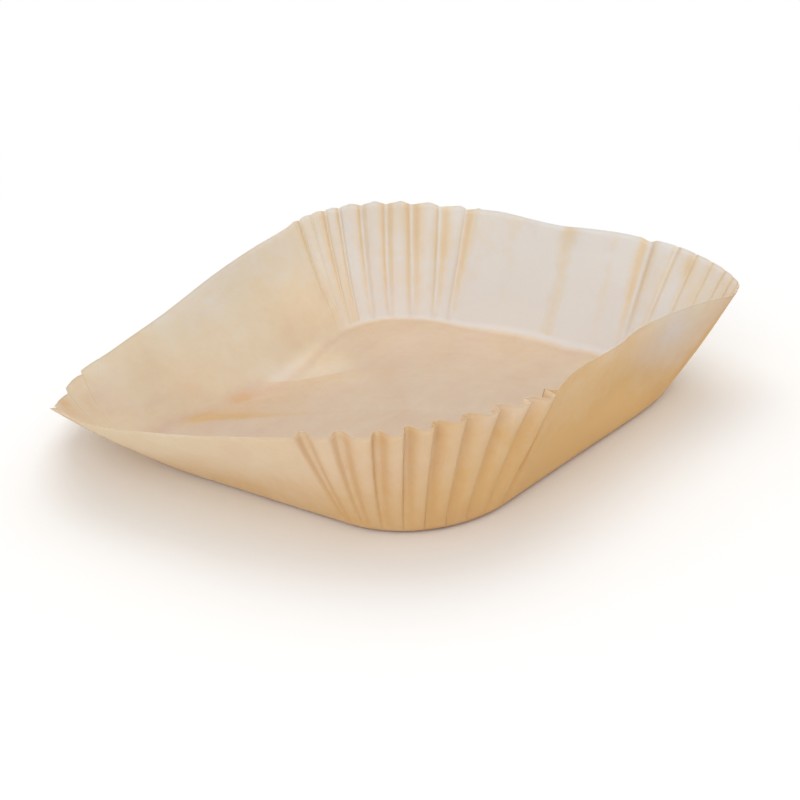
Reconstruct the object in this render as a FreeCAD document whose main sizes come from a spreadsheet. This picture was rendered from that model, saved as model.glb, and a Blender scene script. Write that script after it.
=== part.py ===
"""Air fryer paper liner: one sheet of greaseproof paper pressed into a square tray.

The sheet has a flat floor, a soft fold round it, four plain walls that lean outwards and four
rounded corners. A corner of the flat sheet holds more paper than the folded corner has room
for, and that surplus stands in grooves that point inwards and are deepest at the rim. The
first and the last groove of a corner stand where the plain walls end.

Frame: origin under the middle of the floor, on the surface that the liner stands on, +Z up,
+X and +Y square to two of the walls. Lengths are in millimetres.
"""

import FreeCAD, Part

import math
import os

import Sketcher

NODE = "paper_liner"
WALLS = 4

# name, value, meaning
SIZES = [
    ("opening_side", "200", "width across the rim, outside of one plain wall to the other"),
    ("base_side", "160", "width across the base, where the wall planes meet the ground"),
    ("tray_height", "42", "ground to rim"),
    ("base_corner_radius", "34", "radius of a corner, where its wall would meet the ground"),
    ("fold_radius", "6", "outside radius of the soft fold between floor and wall"),
    ("plain_height", "1.5", "smooth wall between the end of the fold and the foot of a groove"),
    ("paper_thickness", "0.2", "thickness of the sheet"),
    ("grooves_per_corner", "9", "grooves in one corner, with a ridge between each two"),
    ("ridge_share", "0.58", "part of the rim of a corner that its ridges take"),
    ("crease_share", "0.06", "part of the rim of a corner that the floors of its grooves take"),
]

# name, kind, expression, meaning. These follow from the sizes, lengths again in millimetres.
DERIVED = [
    ("overhang", "Float", "(Sizes.opening_side - Sizes.base_side) / 2",
     "how far a wall leans out over its whole height"),
    ("flare", "Angle", "atan(overhang / Sizes.tray_height)", "lean of a wall from the upright"),
    ("corner_axis", "Float", "Sizes.base_side / 2 - Sizes.base_corner_radius",
     "the axis that a corner is turned round, from the middle"),
    ("floor_reach", "Float", "Sizes.base_side / 2 - Sizes.fold_radius / tan(45 deg + flare / 2)",
     "from the middle to where the floor turns into the fold"),
    ("level_thickness", "Float", "Sizes.paper_thickness / cos(flare)",
     "thickness of a leaning wall, measured level"),
    ("groove_start", "Float", "Sizes.fold_radius * (1 - sin(flare)) + Sizes.plain_height",
     "level of the foot of the grooves"),
    ("foot_radius", "Float", "Sizes.base_corner_radius + groove_start * tan(flare)",
     "radius of a corner at the foot of its grooves"),
    ("rim_radius", "Float", "Sizes.base_corner_radius + overhang", "radius of a corner at the rim"),
    ("sheet_radius", "Float", "Sizes.base_corner_radius + Sizes.tray_height / cos(flare)",
     "radius of a corner of the flat sheet"),
    ("half_pitch", "Angle", "45 deg / (Sizes.grooves_per_corner - 1)",
     "half of the turn from one groove to the next"),
    ("rim_pitch", "Float", "rim_radius * half_pitch / (90 deg) * pi",
     "length of the rim that one groove and one ridge take"),
    ("surplus", "Float", "(sheet_radius - rim_radius) * pi / 2 / Sizes.grooves_per_corner",
     "paper at the rim that one groove has to use up"),
    ("half_crease", "Float", "rim_pitch * Sizes.crease_share / 2",
     "half of the width of a groove's floor at the rim"),
    ("half_foot_crease", "Float", "half_crease / 5", "half of that width at the foot"),
    ("flank_run", "Float", "rim_pitch * (1 - Sizes.ridge_share - Sizes.crease_share) / 2",
     "length along the rim that one flank of a groove crosses"),
    ("flank", "Float", "flank_run + surplus / 2",
     "length of one flank at the rim, so that the groove uses up the surplus of the sheet"),
    ("flank_angle", "Angle", "acos(flank_run / flank)", "turn from the rim's line to a flank"),
    ("groove_depth", "Float", "flank * sin(flank_angle)", "depth of a groove at the rim"),
    ("crease_turn", "Float", "level_thickness * tan(flank_angle / 2)",
     "how much wider the inside of a groove's floor is, to each side, than the outside"),
    ("overcut", "Float", "Sizes.paper_thickness / 2", "how far outside the sheet a cut starts"),
]


# A groove is made from two wedges. The first is the paper that is folded in, and starts and
# ends within the thickness of the corner. The second is the hollow, cut from outside. Each
# row is the radius of the groove's floor, half of its width and the radius of its lips.
FOLDED = {
    "Foot": (
        "Derived.foot_radius - Derived.level_thickness * 0.75",
        "Derived.half_foot_crease + Derived.crease_turn",
        "Derived.foot_radius - Derived.level_thickness / 4",
    ),
    "Rim": (
        "Derived.rim_radius - Derived.groove_depth - Derived.level_thickness",
        "Derived.half_crease + Derived.crease_turn",
        "Derived.rim_radius - Derived.level_thickness / 2",
    ),
}
HOLLOWED = {
    "Foot": (
        "Derived.foot_radius + Derived.level_thickness / 4",
        "Derived.half_foot_crease",
        "Derived.foot_radius + Derived.overcut",
    ),
    "Rim": (
        "Derived.rim_radius - Derived.groove_depth",
        "Derived.half_crease",
        "Derived.rim_radius + Derived.overcut",
    ),
}


def make_sheet(doc):
    """Write the driving sizes into a spreadsheet, each cell with its alias."""
    sheet = doc.addObject("Spreadsheet::Sheet", "Sizes")
    for row, (name, value, meaning) in enumerate(SIZES, start=1):
        sheet.set(f"A{row}", name)
        sheet.set(f"B{row}", value)
        sheet.setAlias(f"B{row}", name)
        sheet.set(f"C{row}", meaning)
    doc.recompute()
    return sheet


def make_derived(doc):
    """Hold the values that follow from the sizes, each driven by its expression."""
    derived = doc.addObject("App::VarSet", "Derived")
    for name, kind, expression, meaning in DERIVED:
        derived.addProperty(f"App::Property{kind}", name, "Derived", meaning)
        derived.setExpression(name, expression)
    doc.recompute()
    return derived


def polar(radius, degrees):
    """A point of a sketch from its distance to the origin and its direction."""
    angle = math.radians(degrees)
    return FreeCAD.Vector(radius * math.cos(angle), radius * math.sin(angle), 0)


def new_sketch(body, name, plane):
    """An empty sketch on one of the body's origin planes."""
    sketch = body.newObject("Sketcher::SketchObject", name)
    support = next(part for part in body.Origin.OriginFeatures if part.Role == plane)
    sketch.AttachmentSupport = [(support, "")]
    sketch.MapMode = "FlatFace"
    return sketch


def dimension(sketch, name, expression, *constraint):
    """Add a named dimension to a sketch and drive it by an expression."""
    index = sketch.addConstraint(Sketcher.Constraint(*constraint))
    sketch.renameConstraint(index, name)
    sketch.setExpression(f"Constraints.{name}", expression)


def draw_floor(derived, sketch):
    """The flat floor: a square with round corners, inside the start of the fold."""
    reach = derived.floor_reach
    axis = derived.corner_axis
    radius = reach - axis
    up = FreeCAD.Vector(0, 0, 1)
    # Elements 0, 2, 4 and 6 are the sides, 1, 3, 5 and 7 the corners that follow them.
    for corner in range(WALLS):
        turn = FreeCAD.Rotation(up, 90 * corner)
        side = [turn.multVec(FreeCAD.Vector(reach, y, 0)) for y in (-axis, axis)]
        sketch.addGeometry(Part.LineSegment(*side), False)
        circle = Part.Circle(turn.multVec(FreeCAD.Vector(axis, axis, 0)), up, radius)
        start = math.radians(90 * corner)
        sketch.addGeometry(Part.ArcOfCircle(circle, start, start + math.pi / 2), False)
    joints = 2 * WALLS
    for item in range(joints):
        following = (item + 1) % joints
        sketch.addConstraint(Sketcher.Constraint("Tangent", item, 2, following, 1))
    for side, direction in enumerate(("Vertical", "Horizontal") * 2):
        sketch.addConstraint(Sketcher.Constraint(direction, 2 * side))
    for corner in range(1, WALLS):
        sketch.addConstraint(Sketcher.Constraint("Equal", 1, 2 * corner + 1))
    dimension(sketch, "corner", "Derived.floor_reach - Derived.corner_axis", "Radius", 1, radius)
    for arc, sign in ((1, 1), (5, -1)):
        for kind in ("DistanceX", "DistanceY"):
            name = f"axis_{kind[-1].lower()}_{arc}"
            expression = f"{sign} * Derived.corner_axis"
            dimension(sketch, name, expression, kind, -1, 1, arc, 3, sign * axis)


def draw_strip(sheet, derived, sketch):
    """Section of the sheet through the fold and the wall above it, up to the level rim."""
    lean = derived.flare.Value
    fold = sheet.fold_radius
    inside = fold - sheet.paper_thickness
    centre = FreeCAD.Vector(derived.floor_reach, fold, 0)
    rim_out = FreeCAD.Vector(sheet.opening_side / 2, sheet.tray_height, 0)
    rim_in = rim_out - FreeCAD.Vector(derived.level_thickness, 0, 0)
    up = FreeCAD.Vector(0, 0, 1)
    turn = (math.radians(-90), math.radians(-lean))
    outer_fold, outer_wall, rim, inner_wall, inner_fold, floor_end = range(6)
    for curve in (
        Part.ArcOfCircle(Part.Circle(centre, up, fold), *turn),
        Part.LineSegment(centre + polar(fold, -lean), rim_out),
        Part.LineSegment(rim_out, rim_in),
        Part.LineSegment(rim_in, centre + polar(inside, -lean)),
        Part.ArcOfCircle(Part.Circle(centre, up, inside), *turn),
        Part.LineSegment(centre + polar(inside, -90), centre + polar(fold, -90)),
    ):
        sketch.addGeometry(curve, False)
    for constraint in (
        ("Tangent", outer_fold, 2, outer_wall, 1),
        ("Coincident", outer_wall, 2, rim, 1),
        ("Coincident", rim, 2, inner_wall, 1),
        ("Tangent", inner_wall, 2, inner_fold, 2),
        ("Coincident", inner_fold, 1, floor_end, 1),
        ("Coincident", floor_end, 2, outer_fold, 1),
        ("Coincident", inner_fold, 3, outer_fold, 3),
        ("Vertical", outer_fold, 3, outer_fold, 1),
        ("Vertical", floor_end),
        ("Horizontal", rim),
        ("Parallel", outer_wall, inner_wall),
    ):
        sketch.addConstraint(Sketcher.Constraint(*constraint))
    for name, expression, constraint in (
        ("floor_reach", "Derived.floor_reach", ("DistanceX", -1, 1, outer_fold, 3, centre.x)),
        ("fold_level", "Sizes.fold_radius", ("DistanceY", -1, 1, outer_fold, 3, fold)),
        ("fold_outside", "Sizes.fold_radius", ("Radius", outer_fold, fold)),
        ("fold_inside", "Sizes.fold_radius - Sizes.paper_thickness", ("Radius", inner_fold, inside)),
        ("rim_level", "Sizes.tray_height", ("DistanceY", -1, 1, outer_wall, 2, rim_out.y)),
        ("lean", "90 deg - Derived.flare", ("Angle", outer_wall, math.radians(90 - lean))),
    ):
        dimension(sketch, name, expression, *constraint)


def draw_groove(derived, sketch, crease_radius, half_crease, lip_radius):
    """Level section of a groove: a trapezoid with its narrow end towards the inside."""
    # It is drawn as the groove is at the rim. The dimensions then bring it to its own size.
    near, narrow = derived.rim_radius - derived.groove_depth, derived.half_crease
    far, wide = derived.rim_radius, derived.half_crease + derived.flank_run
    corners = [
        FreeCAD.Vector(near, -narrow, 0),
        FreeCAD.Vector(far, -wide, 0),
        FreeCAD.Vector(far, wide, 0),
        FreeCAD.Vector(near, narrow, 0),
    ]
    low_flank, lip, high_flank, crease = range(4)
    for start, end in zip(corners, corners[1:] + corners[:1]):
        sketch.addGeometry(Part.LineSegment(start, end), False)
    for constraint in (
        ("Coincident", low_flank, 2, lip, 1),
        ("Coincident", lip, 2, high_flank, 1),
        ("Coincident", high_flank, 2, crease, 1),
        ("Coincident", crease, 2, low_flank, 1),
        ("Symmetric", lip, 1, lip, 2, -1),
        ("Symmetric", crease, 1, crease, 2, -1),
    ):
        sketch.addConstraint(Sketcher.Constraint(*constraint))
    turn = math.radians(90 - derived.flank_angle.Value)
    for name, expression, constraint in (
        ("crease_radius", crease_radius, ("DistanceX", -1, 1, crease, 1, near)),
        ("half_crease", half_crease, ("DistanceY", -1, 1, crease, 1, narrow)),
        ("lip_radius", lip_radius, ("DistanceX", -1, 1, lip, 1, far)),
        ("flank", "90 deg - Derived.flank_angle", ("Angle", -1, 1, high_flank, 2, turn)),
    ):
        dimension(sketch, name, expression, *constraint)


def pattern_round(body, name, axis, count, angle="360 deg"):
    """A polar pattern round an axis of the body or of a sketch."""
    pattern = body.newObject("PartDesign::PolarPattern", name)
    pattern.Axis = axis
    pattern.setExpression("Angle", angle)
    pattern.setExpression("Occurrences", count)
    return pattern


def make_floor(derived, body):
    """The flat floor."""
    sketch = new_sketch(body, "FloorOutline", "XY_Plane")
    draw_floor(derived, sketch)
    pad = body.newObject("PartDesign::Pad", "Floor")
    pad.Profile = sketch
    pad.setExpression("Length", "Sizes.paper_thickness")


def make_section(sheet, derived, body):
    """Section of the sheet where a plain wall ends, with the upright axis of the corner."""
    sketch = new_sketch(body, "WallSection", "XZ_Plane")
    sketch.setExpression("AttachmentOffset.Base.z", "-Derived.corner_axis")
    draw_strip(sheet, derived, sketch)
    axis, height = derived.corner_axis, sheet.tray_height
    foot = FreeCAD.Vector(axis, 0, 0)
    line = sketch.addGeometry(Part.LineSegment(foot, foot + FreeCAD.Vector(0, height, 0)), True)
    sketch.addConstraint(Sketcher.Constraint("Vertical", line))
    sketch.addConstraint(Sketcher.Constraint("PointOnObject", line, 1, -1))
    dimension(sketch, "axis_place", "Derived.corner_axis", "DistanceX", -1, 1, line, 1, axis)
    dimension(sketch, "axis_length", "Sizes.tray_height", "Distance", line, height)
    return sketch


def make_walls(body, section, upright):
    """The plain wall with its stretch of the fold, repeated on the four sides."""
    pad = body.newObject("PartDesign::Pad", "Wall")
    pad.Profile = section
    pad.setExpression("Length", "2 * Derived.corner_axis")
    pattern = pattern_round(body, "Walls", upright, str(WALLS))
    pattern.Originals = [pad]
    body.Tip = pattern


def make_corners(body, section, upright):
    """The same section turned round a corner, repeated on the four corners."""
    turn = body.newObject("PartDesign::Revolution", "Corner")
    turn.Profile = section
    turn.ReferenceAxis = (section, ["Axis0"])
    turn.Angle = 90
    pattern = pattern_round(body, "Corners", upright, str(WALLS))
    pattern.Originals = [turn]
    body.Tip = pattern


def groove_sketch(body, name, level):
    """An empty level sketch with its origin on the corner's axis and +X along a groove."""
    sketch = new_sketch(body, name, "XY_Plane")
    for side in "xy":
        sketch.setExpression(f"AttachmentOffset.Base.{side}", "Derived.corner_axis")
    sketch.setExpression("AttachmentOffset.Base.z", level)
    return sketch


def loft_groove(derived, body, kind, name, sections):
    """A wedge between two level sections of a groove, one at its foot and one at the rim."""
    sketches = []
    for place, level in (("Foot", "Derived.groove_start"), ("Rim", "Sizes.tray_height")):
        sketch = groove_sketch(body, f"{name}{place}", level)
        draw_groove(derived, sketch, *sections[place])
        sketches.append(sketch)
    wedge = body.newObject(kind, name)
    wedge.Profile, wedge.Sections = sketches[0], sketches[1:]
    wedge.Ruled = True
    return wedge


def make_grooves(derived, body, upright):
    """One groove, folded in and then hollowed out, repeated round a corner and on all four."""
    fold = loft_groove(derived, body, "PartDesign::AdditiveLoft", "Fold", FOLDED)
    hollow = loft_groove(derived, body, "PartDesign::SubtractiveLoft", "Hollow", HOLLOWED)
    spread = body.newObject("PartDesign::MultiTransform", "Grooves")
    spread.Originals = [fold, hollow]
    spread.Transformations = [
        pattern_round(
            body, "CornerGrooves", (fold.Profile[0], ["N_Axis"]),
            "Sizes.grooves_per_corner", "90 deg",
        ),
        pattern_round(body, "AllGrooves", upright, str(WALLS)),
    ]
    body.Tip = spread


def make_liner(doc, sheet, derived):
    """The whole liner as one body."""
    body = doc.addObject("PartDesign::Body", "PaperLiner")
    body.Label = NODE
    axis = next(part for part in body.Origin.OriginFeatures if part.Role == "Z_Axis")
    upright = (axis, [""])
    make_floor(derived, body)
    section = make_section(sheet, derived, body)
    make_walls(body, section, upright)
    make_corners(body, section, upright)
    make_grooves(derived, body, upright)
    return body


def check(doc, parts):
    """Stop on any object that failed and on any part without one sound solid."""
    for item in doc.Objects:
        if "Invalid" in item.State or "Error" in item.State:
            raise RuntimeError(f"{item.Name} failed: {item.State}")
    for part in parts:
        if part.Shape.isNull() or not part.Shape.isValid():
            raise RuntimeError(f"{part.Label} has no valid shape")
        if len(part.Shape.Solids) != 1:
            raise RuntimeError(f"{part.Label} has {len(part.Shape.Solids)} solids")


def main():
    """Build the document and write one STEP file for each part."""
    doc = FreeCAD.newDocument("AirFryerLiner")
    sheet = make_sheet(doc)
    derived = make_derived(doc)
    parts = [make_liner(doc, sheet, derived)]
    doc.recompute()
    check(doc, parts)
    os.makedirs("parts", exist_ok=True)
    for part in parts:
        part.Shape.exportStep(f"parts/{part.Label}.step")
        box = part.Shape.BoundBox
        print(
            f"{part.Label}: {part.Shape.Volume:.1f} mm3, {len(part.Shape.Faces)} faces,"
            f" {box.XLength:.2f} x {box.YLength:.2f} x {box.ZLength:.2f} mm"
        )


main()
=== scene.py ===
"""Looks of an air fryer paper liner: one pressed and pleated tray of greaseproof paper.

The tray is one sheet. A smooth carrier surface gives the floor, the soft fold round it and the
walls, and the pleats of the four corners are laid into that carrier. The sheet then gets its
thickness, its paint and its paper finish. Lengths are in millimetres until the mesh is made, and
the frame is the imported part's: +Z up out of the tray.

A place round the tray is a distance along its fold line, which starts with the wall across +X
and runs on over the walls across +Y, -X and -Y. A rise is a place up the sheet: 0 where the
floor meets the fold, 1 where the fold ends and 2 at the rim.
"""

import logging
import math
from dataclasses import dataclass, field
from enum import Enum

import bpy
import numpy as np
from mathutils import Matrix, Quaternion, Vector


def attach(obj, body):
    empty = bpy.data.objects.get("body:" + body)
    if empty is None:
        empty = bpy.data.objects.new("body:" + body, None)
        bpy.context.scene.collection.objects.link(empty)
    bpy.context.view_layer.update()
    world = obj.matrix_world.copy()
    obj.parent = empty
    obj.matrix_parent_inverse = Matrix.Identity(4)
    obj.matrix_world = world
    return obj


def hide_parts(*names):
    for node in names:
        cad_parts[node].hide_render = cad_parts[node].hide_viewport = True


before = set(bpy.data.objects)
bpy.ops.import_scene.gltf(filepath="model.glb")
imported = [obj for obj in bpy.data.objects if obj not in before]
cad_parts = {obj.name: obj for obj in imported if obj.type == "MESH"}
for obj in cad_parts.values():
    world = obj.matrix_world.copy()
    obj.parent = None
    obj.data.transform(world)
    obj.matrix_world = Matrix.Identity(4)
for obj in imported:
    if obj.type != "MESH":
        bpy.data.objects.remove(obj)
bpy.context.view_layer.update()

LOG = logging.getLogger("paper_liner")
MM = 0.001
TINY = 1e-9
FOLD_TOP = 1.0
RIM_TOP = 2.0

# Places of the columns on one side of a groove, as shares of its pitch, and the share within
# which both sides of a groove are alike.
GROOVE_COLUMNS = np.array([0.0, 0.02, 0.045, 0.075, 0.11, 0.145, 0.18, 0.215, 0.25, 0.31, 0.39])
ALIKE = 0.25


class Corner(Enum):
    """The four corners, each with its place in the order round the tray."""

    RIGHT = 0
    BACK = 1
    LEFT = 2
    FRONT = 3


class Side(Enum):
    """The two sides of the sheet."""

    INSIDE = "inside"
    OUTSIDE = "outside"


Pair = tuple[float, float]
Triple = tuple[float, float, float]
Paint = dict[str, dict[Side, np.ndarray]]


def smooth_step(values: np.ndarray, low: float, high: float) -> np.ndarray:
    """Rise smoothly from 0 at a low limit to 1 at a high one."""
    share = np.clip((values - low) / (high - low), 0.0, 1.0)
    return share * share * (3.0 - 2.0 * share)


def bell(values: np.ndarray, place: float, width: float | np.ndarray) -> np.ndarray:
    """Rise to 1 at a place, and fall to about a third one width away on both sides of it."""
    return np.exp(-(((values - place) / width) ** 2))


class ClosedCurve:
    """A smooth closed curve of any number of values over a distance round the tray."""

    def __init__(self, table: list[tuple[float, ...]], length: float) -> None:
        """Prepare the curve.

        Args:
            table: Rows of a place and the values there, with the places rising.
            length: Length of one full turn, in which all the places lie.
        """
        table_rows = np.array(table, dtype=float)
        self.length = length
        self.places = table_rows[:, 0]
        self.rows = table_rows[:, 1:]
        self.steps = np.roll(self.places, -1) - self.places
        self.steps[-1] += length
        step = self.steps[:, None]
        step_before = np.roll(step, 1, axis=0)
        slope = (np.roll(self.rows, -1, axis=0) - self.rows) / step
        slope_before = np.roll(slope, 1, axis=0)
        self.tangents = (slope * step_before + slope_before * step) / (step + step_before)

    def at(self, distance: np.ndarray) -> np.ndarray:
        """Read the curve.

        Args:
            distance: Distances round the tray, of any shape.

        Returns:
            The rows of values there, in one more axis.
        """
        turned = np.mod(distance - self.places[0], self.length) + self.places[0]
        index = np.searchsorted(self.places, turned, side="right") - 1
        following = (index + 1) % len(self.places)
        step = self.steps[index][..., None]
        share = (turned - self.places[index])[..., None] / step
        start, end = self.rows[index], self.rows[following]
        leave, arrive = self.tangents[index] * step, self.tangents[following] * step
        cube, square = share**3, share**2
        return (
            (2 * cube - 3 * square + 1) * start
            + (cube - 2 * square + share) * leave
            + (3 * square - 2 * cube) * end
            + (cube - square) * arrive
        )


@dataclass(frozen=True)
class FoldLine:
    """The square with round corners where the walls would meet the ground."""

    half_side: float = 80.0
    corner_radius: float = 34.0

    @property
    def straight(self) -> float:
        """Length of one straight side."""
        return 2.0 * (self.half_side - self.corner_radius)

    @property
    def quarter(self) -> float:
        """Length of one side and the corner after it."""
        return self.straight + self.corner_radius * math.pi / 2.0

    @property
    def length(self) -> float:
        """Length of the whole line."""
        return 4.0 * self.quarter

    def at(self, distance: np.ndarray) -> tuple[np.ndarray, np.ndarray]:
        """Read the line and its outward direction.

        Args:
            distance: Distances round the line, from the start of the side across +X.

        Returns:
            The points and the outward unit directions, both level, with two values each.
        """
        turned = np.mod(distance, self.length)
        side = np.floor(turned / self.quarter)
        along = turned - side * self.quarter
        axis = self.half_side - self.corner_radius
        angle = np.clip((along - self.straight) / self.corner_radius, 0.0, math.pi / 2.0)
        x = axis + self.corner_radius * np.cos(angle)
        y = np.minimum(along, self.straight) - axis + self.corner_radius * np.sin(angle)
        turn = side * math.pi / 2.0
        line = self.turn_level(x, y, turn)
        return line, self.turn_level(np.cos(angle), np.sin(angle), turn)

    @staticmethod
    def turn_level(x: np.ndarray, y: np.ndarray, turn: np.ndarray) -> np.ndarray:
        """Turn level vectors about the upright by angles in radians."""
        cosine, sine = np.cos(turn), np.sin(turn)
        return np.stack([x * cosine - y * sine, x * sine + y * cosine], axis=-1)


@dataclass(frozen=True)
class Patch:
    """A soft patch of colour, painted light and shade: its place round the tray and up the sheet,
    and its half sizes.
    """

    place: float
    rise: float
    half_length: float
    half_height: float
    warmth: float = 0.0
    blush: float = 0.0
    tone: float = 0.0

    def weight(self, distance: np.ndarray, rise: np.ndarray, turn: float) -> np.ndarray:
        """Find how strong the patch is at some places.

        Args:
            distance: Distances round the tray.
            rise: Places up the sheet.
            turn: Length of one full turn round the tray.

        Returns:
            The strength, from 0 to 1.
        """
        offset = np.mod(distance - self.place + 0.5 * turn, turn) - 0.5 * turn
        across = offset / self.half_length
        up = (rise - self.rise) / self.half_height
        return np.exp(-(across**2) - up**2)


@dataclass(frozen=True)
class Band:
    """A soft upright band on the inside of a wall, warmer than the paper round it."""

    place: float
    half_width: float
    warmth: float
    lowest_rise: float = 0.9

    def warm(self, distance: np.ndarray, rise: np.ndarray) -> np.ndarray:
        """Find the warmth that the band adds at places round the tray and up the sheet."""
        return self.warmth * bell(distance, self.place, self.half_width) * (rise > self.lowest_rise)


@dataclass(frozen=True)
class Pleats:
    """The grooves of one corner, listed in their order round the tray.

    Places are distances from the start of the corner along its fold line. The extra warmth of one
    side of a groove, on the side before its crease and on the side after it, is painted shade with
    painted glow of light through the folded paper. A crease slides down the wall at the rim by its
    drop, a share of its depth, and is twice its crown wide, a share of the pitch. The slants widen
    the two sides of each groove, the ease widens shallow grooves, and the roundness softens both
    ends of a side. The belly is how far the panels between the grooves swell outwards at the rim,
    and the arch how far they rise.
    """

    corner: Corner
    feet: list[float]
    tips: list[float]
    depths: list[float]
    leans: list[float]
    crease_shades: list[Pair]
    drops: list[float]
    crown: float = 0.035
    slants: Pair = (1.0, 1.0)
    belly: float = 0.0
    ease: float = 0.0
    roundness: float = 0.7
    arch: float = 0.0

    def columns(self) -> np.ndarray:
        """Lay out the columns of the mesh over the corner.

        Returns:
            For each column its distance from the start of the corner at the foot and at the
            rim, the number of its groove, its signed place across that groove, from -0.5 to
            0.5, and half the width of the panel that it lies on.
        """
        offsets = np.concatenate([-GROOVE_COLUMNS[:0:-1], GROOVE_COLUMNS, [0.5]])
        grooves = []
        for number, crease in enumerate(self.tips):
            foot = self.spread(self.feet, number, offsets)
            tip = self.spread(self.tips, number, offsets)
            own = np.full(len(offsets), number)
            span = np.where(offsets > 0.0, tip[-1] - crease, crease - tip[0])
            grooves.append(np.stack([foot, tip, own, offsets, span]))
        return np.concatenate(grooves, axis=1)

    @staticmethod
    def spread(creases: list[float], number: int, offsets: np.ndarray) -> np.ndarray:
        """Spread the columns of one groove over its share of a corner.

        Near the crease both sides are alike, and further out each side reaches half way to the
        groove next to it.

        Args:
            creases: Places of all the creases of the corner.
            number: Number of the groove.
            offsets: Places across the groove, from -0.5 to 0.5.

        Returns:
            The places of the columns.
        """
        gaps = np.diff(creases) / 2.0
        low = gaps[max(number - 1, 0)]
        high = gaps[min(number, len(gaps) - 1)]
        near = min(low, high)
        side = np.where(offsets > 0.0, high, low)
        size = np.abs(offsets)
        inner = np.minimum(size, ALIKE) * 2.0 * near
        outer = np.clip((size - ALIKE) / (0.5 - ALIKE), 0.0, 1.0) * (side - 2.0 * ALIKE * near)
        return creases[number] + np.sign(offsets) * (inner + outer)


# The rim: place, and the three coordinates there.
RIM = [
    # Wall across +X.
    (0, 101.5, -44.5, 42.2), (8, 100.1, -38, 42.6),
    (16.3, 98.3, -29.7, 43.1), (25, 97.2, -21, 43.2),
    (34, 97.3, -12, 43.1), (46.8, 97.2, 0.8, 43.2),
    (54.7, 96.2, 8.7, 43.6), (67, 96.4, 21, 43.6),
    (78.4, 97.6, 32.4, 43.1), (86.6, 99.2, 44, 42.3),
    # Right corner, between +X and +Y, pinched.
    (92, 100.6, 54, 40.9), (99, 101.2, 63, 39.4),
    (106, 97.6, 73, 39.3), (113, 90.2, 80.5, 39.4),
    (121, 80.4, 87, 40), (130, 69.2, 92.8, 40.4),
    (138, 58.5, 96.8, 41), (145.4, 47.5, 98.6, 41.6),
    # Wall across +Y.
    (150.5, 41, 98.4, 42.1), (161, 30.5, 98.2, 42.8),
    (175.3, 16.1, 98.4, 42.7), (190, 1.4, 98.6, 42.2),
    (205.3, -13.9, 98.8, 43.2), (221, -29.8, 99.2, 44.4),
    (233, -41.5, 99.6, 44),
    # Back corner, between +Y and -X, tall.
    (238.5, -47.7, 100, 43.5), (247.1, -61.2, 97.8, 44.2),
    (254.9, -72.6, 93, 45.3), (262.2, -82, 86.2, 46.4),
    (269.4, -89.6, 77.9, 47.3), (276.2, -95.1, 68.5, 47.8),
    (283.1, -98.6, 58.2, 47.9), (287.9, -99.8, 50.6, 47.3),
    # Wall across -X, which leans out further and further.
    (295, -100.6, 42, 45.4), (308, -104.2, 28.2, 41.8),
    (328, -107.5, 8, 36.3), (355, -111.8, -20.5, 26.5),
    (374, -114.2, -38, 21.6),
    # Left corner, between -X and -Y, nearly opened out.
    (382.8, -114.8, -47.5, 19.3), (391, -114.7, -59.9, 17.4),
    (400, -110, -71, 16), (409.5, -103.4, -81, 14.5),
    (418, -93.5, -90.5, 17), (427, -76.5, -102.5, 25),
    (436.2, -58.5, -110.6, 30.6),
    # Wall across -Y, which leans out towards that corner.
    (446, -45, -113.6, 31.4), (458, -28, -113.4, 32.2),
    (475, -7.8, -111.4, 34.3), (492, 10, -109.2, 36.2),
    (506, 24, -106.8, 38), (520, 38, -104, 39.7),
    # Front corner, between -Y and +X.
    (528.2, 46.5, -102, 40.7), (537.1, 61, -97.8, 42.2),
    (546, 75.6, -91.4, 43.1), (554.9, 84.8, -84.6, 44.3),
    (563.8, 92.5, -75.5, 45.2), (572.7, 98.2, -62.5, 44.9),
    (578.5, 100.7, -51.5, 43.4),
]

# The base fold: place, how far it has moved inwards, its radius and the outward bulge above it.
FOLD = [
    (0, 0, 5, 0.2), (46, 0, 6, -0.5),
    (72, 0.3, 5.5, -0.4), (84, 1, 5, -0.2),
    (98, 2.8, 4.5, 0.6), (118, 3, 4.5, 0.7),
    (145.4, 4.2, 4.5, 0.2), (158, 4.8, 6, 0.5),
    (170, 5.4, 7, 0.7), (180, 4.6, 7, 0.8),
    (190, 3, 7, 0.8), (200, 2.7, 7, 0.6),
    (212, 3.6, 6.5, 0.4), (225, 4.6, 5.5, 0.2),
    (240, 4, 4.5, 0), (252, 3, 4, 0.2),
    (261, 1.4, 3.8, 0.4), (270, -0.8, 3.5, 0.4),
    (278, -0.8, 3.5, 0.3), (290.8, 0.2, 5, 0.2),
    (310, 5.5, 13, 0.6), (328, 12.5, 22, 1),
    (345, 16, 27, 1.5), (365, 14, 28, 1.8),
    (382.8, 9.5, 26, 1.5), (409.5, 3.5, 19, 1.5),
    (436.2, 0.5, 9, 0.8), (482, 0, 6.5, -0.4),
    (528.2, 0, 6, 0.1), (554.9, 0, 5.5, 0.3),
]
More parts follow.
